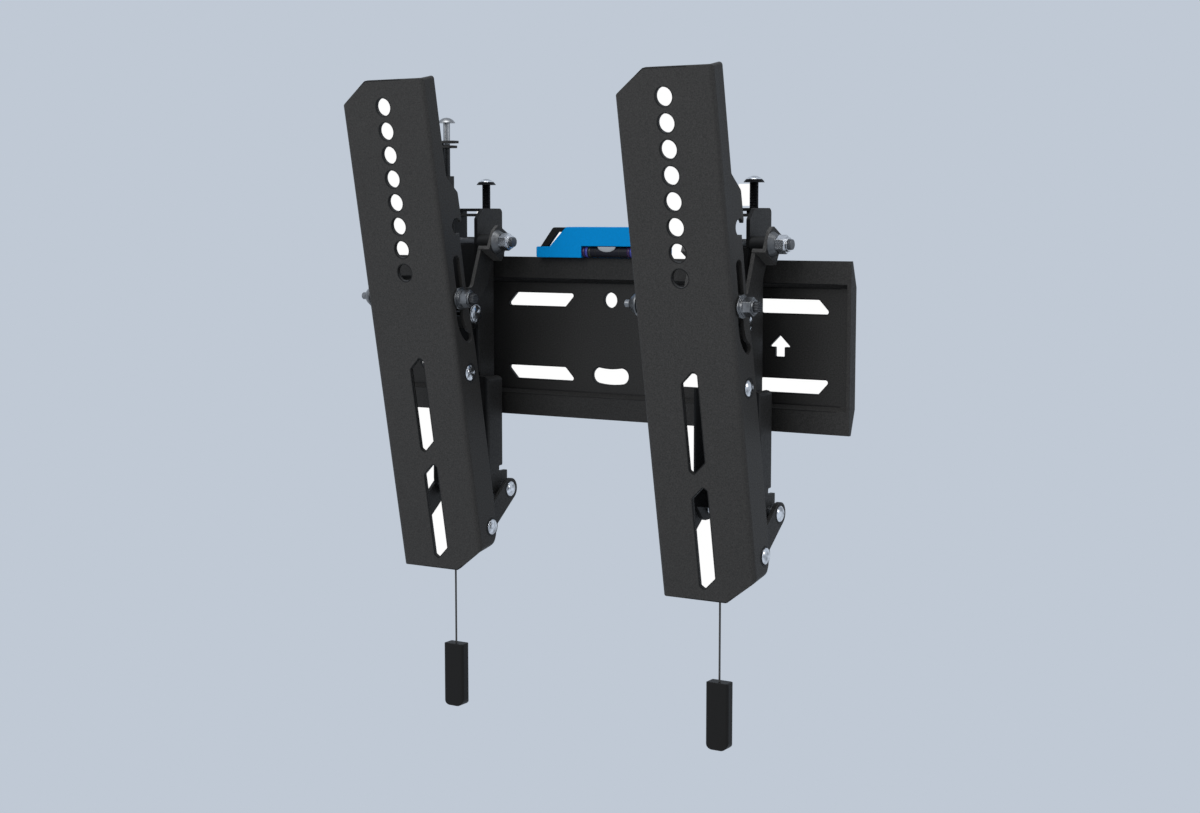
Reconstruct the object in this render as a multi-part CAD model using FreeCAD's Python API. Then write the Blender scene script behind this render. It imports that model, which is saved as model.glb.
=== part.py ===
import FreeCAD, Part
import math
import os

# Tilting wall bracket for a flat screen: a wall plate, two hook-on upright arms that
# slide along it, tilt, level, latch under the plate and let go with a pull cord.
# Frame: X to the right, Y into the wall (the wall is Y = 0), Z up, with the origin at
# the middle of the back face of the wall plate. Lengths are in mm, angles in degrees.

V = FreeCAD.Vector
os.makedirs("parts", exist_ok=True)

# Sheet and clearances
sheet = 2.0
bend_radius = 2.4
running_gap = 0.3
seat_gap = 0.1

# Wall plate
plate_half_length = 137.0
plate_half_height = 42.0
lip_height = 10.5
lip_front = 6.5
joggle_height = 2.0
slot_row = 19.5
slot_height = 7.0
slot_slant = 6.5
slot_inner_start = 21.2
slot_outer_start = 81.0
slot_length = 44.0
centre_hole_radius = 4.0
centre_hole_height = 20.0
kidney_half_width = 4.1
kidney_drop = 40.0
kidney_half_angle = 9.9
arrow_x = 97.5
arrow_height = 10.8
arrow_head_width = 12.0
arrow_stem_width = 5.2

# Arms: s runs down the face from the top screen hole, n runs back from its front
arm_spacing = 160.0
arm_half_width = 26.0
arm_top = -13.4
arm_bottom = 244.3
tilt_at_rest = 11.0
tilt_most = 12.0
face_corner_width = 16.5
face_corner_height = 12.4
hole_pitch = 12.0
hole_count = 8
hole_radius = 4.4
long_slots = ((128.7, 179.6), (186.0, 238.5))
long_slot_width = 8.8
long_slot_slant = 6.3
flange_narrow = 10.0
flange_wide = 18.3
flange_step = (37.0, 46.0, 60.0, 65.5)
flange_waist = 15.2
flange_lower = 17.0
flange_swell = (103.0, 125.0)
flange_window = (13.8, 62.5, 4.0)
arm_rivet_place = (10.0, 138.1)
slot_top = (9.9, 79.6)

# Pivots in the side view, as (Y, Z)
bolt = (-22.2, 50.0)
stop = (-28.0, 12.3)
foot = (-11.0, -82.0)
hinge = (-33.1, -99.2)
hinge_depth = 12.5
hinge_s = 222.8
axle_depth = 8.8
axle_s = 98.7
link_turn_per_tilt = 3.67

# Sheet parts of the bracket, as distances from the middle of the arm
hook_half = 12.5
hook_top = 67.4
hook_front = -25.6
hook_corner = (5.3, 5.5)
hook_rear = -2.6
hook_reach = 6.0
hook_web_top = 48.5
hook_bottom = -60.0
hook_step = -18.8
lip_clear_rear = -11.0
stop_ear_radius = 5.0
channel_half = 18.4
channel_front = -25.9
channel_top = -20.8
channel_bottom = -69.0
channel_rear = -12.2
wall_foot = (-72.2, -77.8)
wall_foot_rear = -7.8
link_to_arm_gap = 1.0
ear_inner = arm_half_width - 2 * sheet - link_to_arm_gap
link_inner = 15.6
link_end_radius = 4.6
foot_link_radius = 5.7

# Axle, bolt, pins and rivets
axle_radius = 2.5
bolt_radius = 2.5
slot_clearance = 0.3
tube_radius = 4.0
flange_gap = 0.3
washer_radius = 5.6
washer_thickness = 1.0
outer_washer_thickness = 1.2
nut_across_flats = 8.0
nut_height = 4.2
nut_collar = 0.8
axle_end_right = 36.0
axle_end_left = -36.0
cone_washer_radius = 6.3
cone_washer_height = 3.2
lock_nut_height = 4.4
lock_nut_collar = 1.3
bolt_head_radius = 4.6
bolt_head_height = 3.0
bolt_end = 33.5
rivet_radius = 2.0
rivet_head_radius = 4.15
rivet_head_height = 1.5
hinge_gap = 0.05
stop_head_radius = 5.0

# Levelling screw and its nut plate
screw_x = 4.5
screw_y = -5.8
screw_radius = 2.15
screw_head_radius = 5.2
screw_head_base = 79.9
screw_head_height = 3.1
screw_lift = 4.0
tab_thickness = 1.5
tab_gap = 1.2

# Latch, spring, release rod, cord and handle
latch_half = 9.7
latch_sheet = 1.5
latch_front = -23.1
latch_top = 48.0
latch_bottom = -65.5
latch_travel = 9.0
finger_front = -4.1
finger_rear = -1.2
finger_tip = -37.0
finger_bottom = -51.0
strap_top = 84.5
strap_half = 2.6
guide_pins = (-16.0, (30.0, -20.0))
spring_y = -17.0
spring_radius = 3.0
spring_wire = 0.8
spring_turns = 7
spring_bottom = -12.5
spring_top = 12.0
rod_x0 = -11.0
rod_y0 = -20.0
rod_radius = 1.8
rod_head = (4.7, 112.5, 115.3)
guide_post_top = 92.4
guide_tabs = (103.1, 100.6)
guide_tab_thickness = 1.3
cord_y = -30.0
cord_radius = 0.5
cord_tab_half = 6.0
cord_door_half = cord_tab_half + 1.0
handle_top = -165.0
handle_height = 34.0
handle_width = 12.5
handle_thickness = 6.5

# Spirit level that stands on the top edge of the plate
level_half_length = 40.0
level_height = 15.8
level_front = -11.0
level_depth = 10.2
level_block_height = 5.6
shoulder_low = (31.8, 5.9)
shoulder_high = 21.6
loop_outer = ((38.0, 6.1), (30.2, 15.6), (22.3, 15.6))
loop_inner = ((33.7, 6.6), (27.5, 13.2), (25.0, 13.2))
loop_depth = 2.0
loop_setback = 1.0
vial_half_length = 15.3
vial_middle = 3.0
vial_radius = 2.9


def box(x0, x1, y0, y1, z0, z1):
    return Part.makeBox(x1 - x0, y1 - y0, z1 - z0, V(x0, y0, z0))


def corner_wire(points, radius):
    """Closed wire through the points with every corner rounded by an arc."""
    count = len(points)
    edges = []
    last = None
    first = None
    for i in range(count):
        before, here, after = points[i - 1], points[i], points[(i + 1) % count]
        size = radius[i] if isinstance(radius, (list, tuple)) else radius
        into = (before - here).normalize()
        out = (after - here).normalize()
        half = into.getAngle(out) / 2
        if size > 0.01 and half < math.radians(88):
            run = size / math.tan(half)
            start = here + into * run
            end = here + out * run
            middle = here + (into + out).normalize() * (size / math.sin(half) - size)
            arc = Part.Arc(start, middle, end).toShape()
        else:
            start = end = here
            arc = None
        if last is not None and (start - last).Length > 1e-6:
            edges.append(Part.makeLine(last, start))
        if arc is not None:
            edges.append(arc)
        first = start if first is None else first
        last = end
    if (last - first).Length > 1e-6:
        edges.append(Part.makeLine(last, first))
    return Part.Wire(edges)


def slab(points, radius, push):
    return Part.Face(corner_wire(points, radius)).extrude(push)


def slab_x(outline, x0, x1, radius=0.0):
    """Side-view outline of (Y, Z) points pushed along X."""
    return slab([V(x0, y, z) for y, z in outline], radius, V(x1 - x0, 0, 0))


def slab_y(outline, y0, y1, radius=0.0):
    """Front-view outline of (X, Z) points pushed along Y."""
    return slab([V(x, y0, z) for x, z in outline], radius, V(0, y1 - y0, 0))


def slab_z(outline, z0, z1, radius=0.0):
    """Plan outline of (X, Y) points pushed along Z."""
    return slab([V(x, y, z0) for x, y in outline], radius, V(0, 0, z1 - z0))


def rod_x(spot, radius, x0, x1):
    return Part.makeCylinder(radius, x1 - x0, V(x0, spot[0], spot[1]), V(1, 0, 0))


def rod_z(x, y, radius, z0, z1):
    return Part.makeCylinder(radius, z1 - z0, V(x, y, z0), V(0, 0, 1))


def dome_x(spot, radius, height, x0, way):
    """Domed head standing on the plane X = x0, towards +X or -X by way."""
    ball = (radius ** 2 + height ** 2) / (2 * height)
    centre = V(x0 + way * (height - ball), spot[0], spot[1])
    block = rod_x(spot, radius, min(x0, x0 + way * height), max(x0, x0 + way * height))
    return Part.makeSphere(ball, centre).common(block)


def hexagon_x(spot, across_flats, x0, x1):
    corner = across_flats / math.sqrt(3)
    ring = [(spot[0] + corner * math.cos(math.radians(60 * i + 30)),
             spot[1] + corner * math.sin(math.radians(60 * i + 30))) for i in range(6)]
    nut = slab_x(ring, x0, x1)
    chamfer = across_flats * 0.58
    cone = Part.makeCone(chamfer + (x1 - x0) * 1.6, chamfer * 0.9, x1 - x0,
                         V(x0, spot[0], spot[1]), V(1, 0, 0))
    return nut.common(cone)


def capsule_x(start, end, radius, x0, x1):
    """Round-ended strip from one side-view point to another."""
    along = V(0, end[0] - start[0], end[1] - start[1])
    solid = rod_x(start, radius, x0, x1).fuse(rod_x(end, radius, x0, x1))
    if along.Length > 0.01:
        across = V(0, -along.z, along.y).normalize() * radius
        a, b = V(x0, start[0], start[1]), V(x0, end[0], end[1])
        solid = solid.fuse(slab([a + across, b + across, b - across, a - across], 0,
                                V(x1 - x0, 0, 0)))
    return solid


def tapered_strip_x(start, start_radius, end, end_radius, x0, x1):
    """Strip with a rounded end about each point, its edges tangent to both rounds."""
    along = V(0, end[0] - start[0], end[1] - start[1])
    lean = math.asin((start_radius - end_radius) / along.Length)
    along.normalize()
    square = V(0, -along.z, along.y)
    left = square * math.cos(lean) + along * math.sin(lean)
    right = square * -math.cos(lean) + along * math.sin(lean)
    a, b = V(x0, start[0], start[1]), V(x0, end[0], end[1])
    body = slab([a + left * start_radius, b + left * end_radius,
                 b + right * end_radius, a + right * start_radius], 0, V(x1 - x0, 0, 0))
    return body.fuse([rod_x(start, start_radius, x0, x1), rod_x(end, end_radius, x0, x1)])


def folded_channel(half, front, rear, thick, radius, z0, z1):
    """Sheet folded to a channel that is open to the rear, with bent front corners."""
    outer = slab_z([(-half, front), (half, front), (half, rear), (-half, rear)],
                   z0, z1, (radius, radius, 0, 0))
    inside = half - thick
    inner = slab_z([(-inside, front + thick), (inside, front + thick),
                    (inside, rear + 1), (-inside, rear + 1)],
                   z0 - 1, z1 + 1, (radius - thick, radius - thick, 0, 0))
    return outer.cut(inner)


def both_ways(maker):
    """One solid on the right side of the middle and its twin on the left."""
    return [maker(1), maker(-1)]


def span(way, near, far):
    return (near, far) if way > 0 else (-far, -near)


def clean(solid):
    return solid.removeSplitter()


def turn_about(spot, pivot, degrees):
    """Side-view point turned about a pivot; a positive turn tips the top forward."""
    angle = math.radians(degrees)
    y, z = spot[0] - pivot[0], spot[1] - pivot[1]
    return (pivot[0] + math.cos(angle) * y - math.sin(angle) * z,
            pivot[1] + math.sin(angle) * y + math.cos(angle) * z)


def arm_to_world(n, s, tilt=tilt_at_rest):
    """Side-view place of a point that lies n behind the face and s down it."""
    return turn_about((hinge[0] + n - hinge_depth, hinge[1] + hinge_s - s), hinge, tilt)


def world_to_arm(spot, tilt):
    y, z = turn_about(spot, hinge, -tilt)
    return (y - hinge[0] + hinge_depth, hinge_s + hinge[1] - z)


axle = arm_to_world(axle_depth, axle_s)


def axle_path(steps):
    """Where the axle runs in the arm, from the most tilt to upright, as (n, s)."""
    path = []
    for i in range(steps + 1):
        tilt = tilt_most * (1 - i / steps)
        spot = turn_about(axle, bolt, (tilt_at_rest - tilt) * link_turn_per_tilt)
        path.append(world_to_arm(spot, tilt))
    return path


def wall_plate():
    lip_start = plate_half_height - lip_height
    bend = lip_start - joggle_height
    half = [(0, -bend), (0, bend), (-lip_front + sheet, lip_start),
            (-lip_front + sheet, plate_half_height), (-lip_front, plate_half_height),
            (-lip_front, lip_start - 0.8), (-sheet, bend - 0.8)]
    lower = [(y, -z) for y, z in reversed(half[2:])]
    plate = slab_x(half + lower, -plate_half_length, plate_half_length)
    top = plate_half_height
    half_end = [(0, bend), (sheet - lip_front, top), (-lip_front, top)]
    end_outline = half_end + [(y, -z) for y, z in reversed(half_end)]
    for way in (1, -1):
        x0, x1 = span(way, plate_half_length - sheet, plate_half_length)
        plate = plate.fuse(slab_x(end_outline, x0, x1, (0, 0, 1, 1, 0, 0)))
    tools = []
    for across in (1, -1):
        for up in (1, -1):
            for start in (slot_inner_start, slot_outer_start):
                low, high = slot_row - slot_height / 2, slot_row + slot_height / 2
                end = start + slot_length
                outline = [(start + slot_slant, low), (end, low), (end - slot_slant, high),
                           (start, high)]
                tools.append(slab_y([(across * x, up * z) for x, z in outline],
                                    -sheet - 1, 1, 1.2))
        top = arrow_height / 2
        head = top - arrow_head_width / 2
        stem = arrow_stem_width / 2
        half_arrow = [(0, top), (arrow_head_width / 2, head), (stem, head), (stem, -top)]
        arrow = half_arrow + [(-x, z) for x, z in reversed(half_arrow[1:])]
        tools.append(slab_y([(across * arrow_x + x, z) for x, z in arrow],
                            -sheet - 1, 1, 0.4))
    tools.append(Part.makeCylinder(centre_hole_radius, sheet + 2,
                                   V(0, -sheet - 1, centre_hole_height), V(0, 1, 0)))
    tools.append(kidney_hole())
    return clean(plate.cut(tools))


def kidney_hole():
    """Curved hole whose middle line is an arc about the round hole above it."""
    ring = Part.makeCylinder(kidney_drop + kidney_half_width, sheet + 2,
                             V(0, -sheet - 1, centre_hole_height), V(0, 1, 0))
    ring = ring.cut(Part.makeCylinder(kidney_drop - kidney_half_width, sheet + 2,
                                      V(0, -sheet - 1, centre_hole_height), V(0, 1, 0)))
    angle = math.radians(kidney_half_angle)
    reach = kidney_drop * 1.5
    side, down = reach * math.sin(angle), reach * math.cos(angle)
    wedge = slab_y([(0, centre_hole_height), (-side, centre_hole_height - down),
                    (side, centre_hole_height - down)], -sheet - 1, 1)
    hole = ring.common(wedge)
    for way in (1, -1):
        x = way * kidney_drop * math.sin(angle)
        z = centre_hole_height - kidney_drop * math.cos(angle)
        hole = hole.fuse(Part.makeCylinder(kidney_half_width, sheet + 2,
                                           V(x, -sheet - 1, z), V(0, 1, 0)))
    return hole


def flange_outline(way):
    """Side profile of one flange: narrow at the top, a step, then round to the hinge."""
    a, b, c, d = flange_step
    back = [(-1, arm_top - 1), (flange_narrow, arm_top - 1), (flange_narrow, a),
            (flange_wide - 0.3, b), (flange_wide, c), (flange_waist, d),
            (flange_waist, flange_swell[0]), (flange_lower, flange_swell[1])]
    radius = [0, 0, 2, 2.5, 2.5, 2.5, 8, 8]
    if way > 0:
        tail = [(flange_lower, hinge_s - 9.8), (flange_lower - 1.5, hinge_s + 5.2),
                (flange_lower - 6, hinge_s + 11.2), (3.2, arm_bottom - 7.3),
                (2.0, arm_bottom + 1), (-1, arm_bottom + 1)]
        radius += [8, 6, 3, 2, 0, 0]
        x0, x1 = 0, arm_half_width + 1
    else:
        tail = [(flange_lower, arm_bottom - 12), (flange_narrow - 2, arm_bottom + 1),
                (-1, arm_bottom + 1)]
        radius += [6, 0, 0]
        x0, x1 = -arm_half_width - 1, 0
    return slab_x([(n, -s) for n, s in back + tail], x0, x1, radius)


def arm():
    """Upright: a channel folded from one sheet, modelled upright and then tilted."""
    half = arm_half_width
    body = folded_channel(half, 0, flange_wide + 3, sheet, bend_radius,
                          -arm_bottom - 1, -arm_top + 1)
    w, h = face_corner_width, face_corner_height
    face = [(-half, -arm_top - h), (-half + w, -arm_top), (half, -arm_top),
            (half, -arm_bottom + h), (half - w, -arm_bottom), (-half, -arm_bottom)]
    body = body.common(slab_y(face, -1, flange_wide + 4, (3, 3, 1.5, 3, 3, 1.5)))
    body = body.common(flange_outline(1).fuse(flange_outline(-1)))
    tools = [Part.makeCylinder(hole_radius, 10, V(0, -5, -hole_pitch * i), V(0, 1, 0))
             for i in range(hole_count)]
    for top, bottom in long_slots:
        w, slant = long_slot_width / 2, long_slot_slant
        outline = [(-w, -top - slant), (w * 0.5, -top), (w, -top - 1.6),
                   (w, -bottom + slant), (-w * 0.5, -bottom), (-w, -bottom + 1.6)]
        tools.append(slab_y(outline, -5, 5, 0.8))
    n, s, radius = flange_window
    tools.append(rod_x((n, -s), radius, 0, half + 1))
    path = [slot_top] + axle_path(8)
    for a, b in zip(path, path[1:]):
        tools.append(capsule_x((a[0], -a[1]), (b[0], -b[1]), axle_radius + slot_clearance,
                               -half - 1, half + 1))
    tools.append(rod_x((hinge_depth, -hinge_s), rivet_radius + hinge_gap, -half - 1, half + 1))
    n, s = arm_rivet_place
    tools.append(rod_x((n, -s), rivet_radius, -half - 1, half + 1))
    body = clean(body.cut(tools))
    body.translate(V(0, hinge[0] - hinge_depth, hinge[1] + hinge_s))
    body.rotate(V(0, hinge[0], hinge[1]), V(1, 0, 0), tilt_at_rest)
    return body


def hook_bracket():
    """Inner channel: hooks over the plate's top lip and carries the other parts."""
    inside = hook_half - sheet
    down, back = hook_corner
    finger_end = plate_half_height - hook_reach
    lip_rear = sheet - lip_front + 0.4
    seat = plate_half_height + running_gap
    y, z = stop
    ear = stop_ear_radius
    outline = [(hook_front + back, hook_top), (hook_rear, hook_top),
               (hook_rear, seat + 6), (-0.8, seat + 4), (-0.8, finger_end),
               (lip_rear, finger_end), (lip_rear, seat), (lip_clear_rear, seat),
               (lip_clear_rear, hook_bottom), (channel_front + sheet, hook_bottom),
               (channel_front + sheet, hook_step), (hook_front, hook_step),
               (hook_front, z - ear - 0.5), (y - ear, z - ear + 2), (y - ear, z + ear - 1),
               (hook_front, z + ear + 2), (hook_front, hook_top - down)]
    radius = (1.5, 2.5, 1, 0.8, 1.2, 1.2, 0.4, 0, 1, 0, 0, 0, 1, 3.5, 4, 1, 1.5)
    walls = [slab_x(outline, *span(way, inside, hook_half), radius) for way in (1, -1)]
    bend_end = hook_front + bend_radius
    stretches = ((hook_step, z - ear - 3), (z + ear + 4, hook_web_top))
    trim = [box(-hook_half - 1, hook_half + 1, hook_front - 1, bend_end, z0, z1)
            for z0, z1 in stretches]
    webs = [folded_channel(hook_half, hook_front, bend_end, sheet, bend_radius, z0, z1)
            for z0, z1 in stretches]
    tab = box(-inside - 0.5, inside + 0.5, hook_front + back + 1, -5, hook_top - tab_thickness,
              hook_top)
    seat_tab = box(-4, 4, hook_front + sheet / 2, spring_y + spring_radius + 1,
                   spring_bottom - tab_thickness, spring_bottom)
    bracket = walls[0].fuse([walls[1], tab]).cut(trim).fuse(webs + [seat_tab])
    tools = [rod_z(screw_x, screw_y, screw_radius + 0.2, hook_top - 3, hook_top + 1),
             strap_opening(hook_top - 3, hook_top + 1),
             rod_x(bolt, bolt_radius, -20, 20), rod_x(stop, rivet_radius, -20, 20)]
    tools += [rod_x((guide_pins[0], z), rivet_radius, -20, 20) for z in guide_pins[1]]
    return clean(bracket.cut(tools))


def strap_opening(z0, z1):
    """Opening for the latch's strap, at the left wall."""
    inner = latch_half - latch_sheet - 0.5
    return box(-hook_half + sheet - 0.5, -inner, rod_y0 - strap_half - 0.5,
               rod_y0 + strap_half + 0.5, z0, z1)


def lower_channel():
    """Outer channel under the plate's middle, with the ears that carry the foot links."""
    body = folded_channel(channel_half, channel_front, 0, sheet, bend_radius,
                          -100, channel_top)
    y, z = foot
    outline = [(channel_front - 1, channel_top), (channel_rear, channel_top),
               (channel_rear, wall_foot[0] + 3), (channel_rear - 3, wall_foot[0] + 3),
               (channel_rear - 3, wall_foot[0]), (wall_foot_rear, wall_foot[0]),
               (wall_foot_rear, wall_foot[1]), (y + 6, z + 2), (y + 5.5, z - 6),
               (y - 5.5, z - 6), (y - 13, z + 2), (channel_front - 1, channel_bottom)]
    radius = (0, 2.5, 0.8, 0.8, 0.8, 0.6, 0.6, 1, 5, 5, 2, 0)
    body = body.common(slab_x(outline, -channel_half - 1, channel_half + 1, radius))
    corner = slab_y([(-channel_half, channel_bottom - 40), (-channel_half, channel_top),
                     (channel_half, channel_top), (channel_half, channel_bottom - 40)],
                    channel_front - 1, 1, (0, 2.5, 2.5, 0))
    door = box(-cord_door_half, cord_door_half, channel_front - 1, channel_front + sheet + 1,
               wall_foot[1] - 10, latch_bottom + latch_sheet + 3)
    return clean(body.common(corner).cut([rod_x(foot, rivet_radius, -30, 30), door]))


def upper_link(way):
    """Dog-leg plate: an ear on the bolt, a jog inwards, and an arm out to the axle."""
    y, z = bolt
    fold_front, fold_rear = (y - 6.8, z - 2.0), (y + 4.8, z - 8.3)
    ear = [fold_front, (y - 3, z + 6), (y + 1, z + 8.8), (y + 11.5, z + 3.4), fold_rear]
    solid = slab_x(ear, *span(way, ear_inner, ear_inner + sheet), (0, 1.5, 1.5, 2, 0))
    along = V(0, fold_rear[0] - fold_front[0], fold_rear[1] - fold_front[1])
    drop = V(0, along.z, -along.y).normalize() * sheet
    if drop.z > 0:
        drop = drop * -1
    x0, x1 = span(way, link_inner, ear_inner + sheet)
    a = V(x0, fold_front[0], fold_front[1])
    jog = slab([a, a + along, a + along + drop, a + drop], 0, V(x1 - x0, 0, 0))
    x0, x1 = span(way, link_inner, link_inner + sheet)
    ay, az = axle
    knee = (y - 15, z - 23.5)
    lower = [fold_front, fold_rear, (y - 1.5, z - 22), (y - 9, z - 30.5),
             (ay + 1.2, az - link_end_radius), (ay - 1.2, az + link_end_radius), knee]
    solid = solid.fuse([jog, slab_x(lower, x0, x1, (0, 0, 6, 4, 0, 0, 3)),
                        rod_x(axle, link_end_radius, x0, x1)])
    return clean(solid.cut([rod_x(bolt, bolt_radius + 0.05, -40, 40),
                            rod_x(axle, axle_radius, -40, 40)]))


def lower_link(way):
    """Foot link beside the channel, from the foot rivet out to the hinge."""
    x0, x1 = span(way, ear_inner, ear_inner + sheet)
    strip = tapered_strip_x(foot, foot_link_radius + 0.1, hinge, foot_link_radius, x0, x1)
    return clean(strip.cut([rod_x(foot, rivet_radius, -40, 40),
                            rod_x(hinge, rivet_radius, -40, 40)]))


def tube_x(spot, outer, inner, x0, x1):
    return rod_x(spot, outer, x0, x1).cut(rod_x(spot, inner, x0 - 1, x1 + 1))


def axle_bolt():
    """Bolt that runs in both flange slots; its head is on the left."""
    inner = -arm_half_width - flange_gap - washer_thickness
    body = rod_x(axle, axle_radius, inner - 1, axle_end_right)
    return clean(body.fuse(hexagon_x(axle, nut_across_flats, axle_end_left, inner)))


def axle_bushes():
    """Tube between the two links and a bush from each link to its flange."""
    middle = tube_x(axle, tube_radius, axle_radius, -link_inner, link_inner)
    sides = both_ways(lambda way: tube_x(axle, tube_radius - 0.2, axle_radius, *span(
        way, link_inner + sheet, arm_half_width - sheet - flange_gap)))
    return Part.makeCompound([middle] + sides)


def axle_washers():
    inner = arm_half_width + flange_gap
    outer = inner + washer_thickness
    rings = [tube_x(axle, washer_radius, axle_radius, inner, outer),
             tube_x(axle, washer_radius - 1, axle_radius, outer, outer + outer_washer_thickness),
             tube_x(axle, washer_radius, axle_radius, -outer, -inner)]
    return Part.makeCompound(rings)


def axle_nut():
    start = arm_half_width + flange_gap + washer_thickness + outer_washer_thickness
    nut = hexagon_x(axle, nut_across_flats, start, start + nut_height)
    top = start + nut_height
    collar = rod_x(axle, nut_across_flats / 2 - 0.5, top, top + nut_collar)
    return clean(nut.fuse(collar).cut(rod_x(axle, axle_radius, -60, 60)))


def link_bolt():
    """Bolt through both bracket walls and both ears, with its head on the left."""
    outer = ear_inner + sheet
    body = rod_x(bolt, bolt_radius, -outer - 1, bolt_end)
    return clean(body.fuse(dome_x(bolt, bolt_head_radius, bolt_head_height, -outer, -1)))


def link_bushes():
    return Part.makeCompound(both_ways(lambda way: tube_x(
        bolt, tube_radius, bolt_radius, *span(way, hook_half, ear_inner))))


def cone_washer():
    start = ear_inner + sheet
    cone = Part.makeCone(cone_washer_radius, nut_across_flats / 2 + 0.4, cone_washer_height,
                         V(start, bolt[0], bolt[1]), V(1, 0, 0))
    return clean(cone.cut(rod_x(bolt, bolt_radius, -40, 60)))


def lock_nut():
    start = ear_inner + sheet + cone_washer_height
    nut = hexagon_x(bolt, nut_across_flats, start, start + lock_nut_height)
    collar = rod_x(bolt, nut_across_flats / 2 - 0.6, start + lock_nut_height,
                   start + lock_nut_height + lock_nut_collar)
    return clean(nut.fuse(collar).cut(rod_x(bolt, bolt_radius, -40, 60)))


def rivet(spot, near, far, head_radius, head_height, way):
    """Rivet from near to far with a domed head outside and a flat one inside."""
    x0, x1 = span(way, near, far)
    solid = rod_x(spot, rivet_radius, x0, x1)
    solid = solid.fuse(dome_x(spot, head_radius, head_height, way * far, way))
    x0, x1 = span(way, near - 1.0, near)
    return clean(solid.fuse(rod_x(spot, rivet_radius + 1.3, x0, x1)))


def foot_rivets():
    """Rivets of the foot links, with the bushes that space them off the channel."""
    solids = []
    for way in (1, -1):
        solids.append(rivet(foot, channel_half - sheet, ear_inner + sheet, rivet_head_radius,
                            rivet_head_height, way))
        solids.append(tube_x(foot, tube_radius, rivet_radius,
                             *span(way, channel_half, ear_inner)))
    return Part.makeCompound(solids)


def hinge_rivets():
    return Part.makeCompound(both_ways(lambda way: rivet(
        hinge, ear_inner, arm_half_width + flange_gap, rivet_head_radius,
        rivet_head_height, way)))


def stop_pin():
    """Pin across the bracket's two ears, with domed heads over flat rings."""
    solid = rod_x(stop, rivet_radius, -hook_half, hook_half)
    for way in (1, -1):
        x0, x1 = span(way, hook_half, hook_half + 0.6)
        solid = solid.fuse([rod_x(stop, stop_head_radius, x0, x1),
                            dome_x(stop, stop_head_radius - 0.6, 1.7,
                                   way * (hook_half + 0.6), way)])
    return clean(solid)


def arm_rivets():
    """Rivet through each flange at mid height."""
    spot = arm_to_world(*arm_rivet_place)
    return Part.makeCompound(both_ways(lambda way: rivet(
        spot, arm_half_width - sheet, arm_half_width, rivet_head_radius, rivet_head_height,
        way)))


def latch():
    """Sliding catch: its two fingers reach under the plate and up behind the lower lip."""
    inside = latch_half - latch_sheet
    body = folded_channel(latch_half, latch_front, 0, latch_sheet, 2.0, latch_bottom, latch_top)
    under = -plate_half_height - screw_lift - 0.5
    rear = lip_clear_rear
    outline = [(latch_front - 1, latch_top), (latch_front + 8, latch_top),
               (rear, latch_top - 6), (rear, under), (finger_front, under),
               (finger_front, finger_tip), (finger_rear, finger_tip),
               (finger_rear, finger_bottom), (latch_front + 6, latch_bottom),
               (latch_front - 1, latch_bottom)]
    radius = (0, 2, 2, 0.5, 0.5, 0.8, 0.8, 2, 2, 0)
    body = body.common(slab_x(outline, -latch_half - 1, latch_half + 1, radius))
    wide = cord_tab_half
    tab = slab_z([(-wide, latch_front + latch_sheet), (-wide, cord_y - 2.5),
                  (wide, cord_y - 2.5), (wide, latch_front + latch_sheet)], latch_bottom,
                 latch_bottom + latch_sheet, (0, 2, 2, 0))
    seat = box(-inside - 0.2, inside + 0.2, latch_front, spring_y + spring_radius + 1,
               spring_top, spring_top + latch_sheet)
    strap = box(-latch_half, -inside, rod_y0 - strap_half, rod_y0 + strap_half,
                latch_top - 10, strap_top)
    rest = box(rod_x0 - 1.3, -inside, rod_y0 - strap_half, rod_y0 + strap_half,
               strap_top - latch_sheet, strap_top)
    body = body.fuse([tab, seat, strap, rest])
    tools = [rod_z(0, cord_y, cord_radius + seat_gap, latch_bottom - 1, latch_bottom + 3),
             rod_x(bolt, bolt_radius + 0.6, -20, 20),
             capsule_x(bolt, (bolt[0], bolt[1] + latch_travel), bolt_radius + 0.6, -20, 20),
             box(-4.5, 4.5, latch_front - 1, latch_front + latch_sheet + 1,
                 spring_bottom - tab_thickness - 0.5, spring_bottom + latch_travel + 1)]
    for z in guide_pins[1]:
        tools.append(capsule_x((guide_pins[0], z), (guide_pins[0], z + latch_travel),
                               rivet_radius + running_gap, -20, 20))
    return clean(body.cut(tools))


def guide_pin_set():
    """Flush cross pins that guide the latch and stop it at both ends of its slots."""
    return Part.makeCompound([rod_x((guide_pins[0], z), rivet_radius, -hook_half, hook_half)
                              for z in guide_pins[1]])


def latch_spring():
    """Coil spring between the bracket's seat and the latch's seat."""
    length = spring_top - spring_bottom - spring_wire - 0.1
    helix = Part.makeHelix(length / spring_turns, length, spring_radius)
    circle = Part.makeCircle(spring_wire / 2, V(spring_radius, 0, 0), V(0, 1, 0))
    coil = Part.Wire(helix).makePipeShell([Part.Wire(circle)], True, True)
    coil.translate(V(0, spring_y, spring_bottom + spring_wire / 2 + 0.05))
    return coil


def release_rod():
    """Screw that stands on the latch's strap, with a flat domed head on top."""
    radius, low, high = rod_head
    ball = (radius ** 2 + (high - low) ** 2) / (2 * (high - low))
    head = Part.makeSphere(ball, V(rod_x0, rod_y0, high - ball))
    head = head.common(rod_z(rod_x0, rod_y0, radius, low, high))
    return clean(head.fuse(rod_z(rod_x0, rod_y0, rod_radius, strap_top, low + 0.5)))


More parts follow.
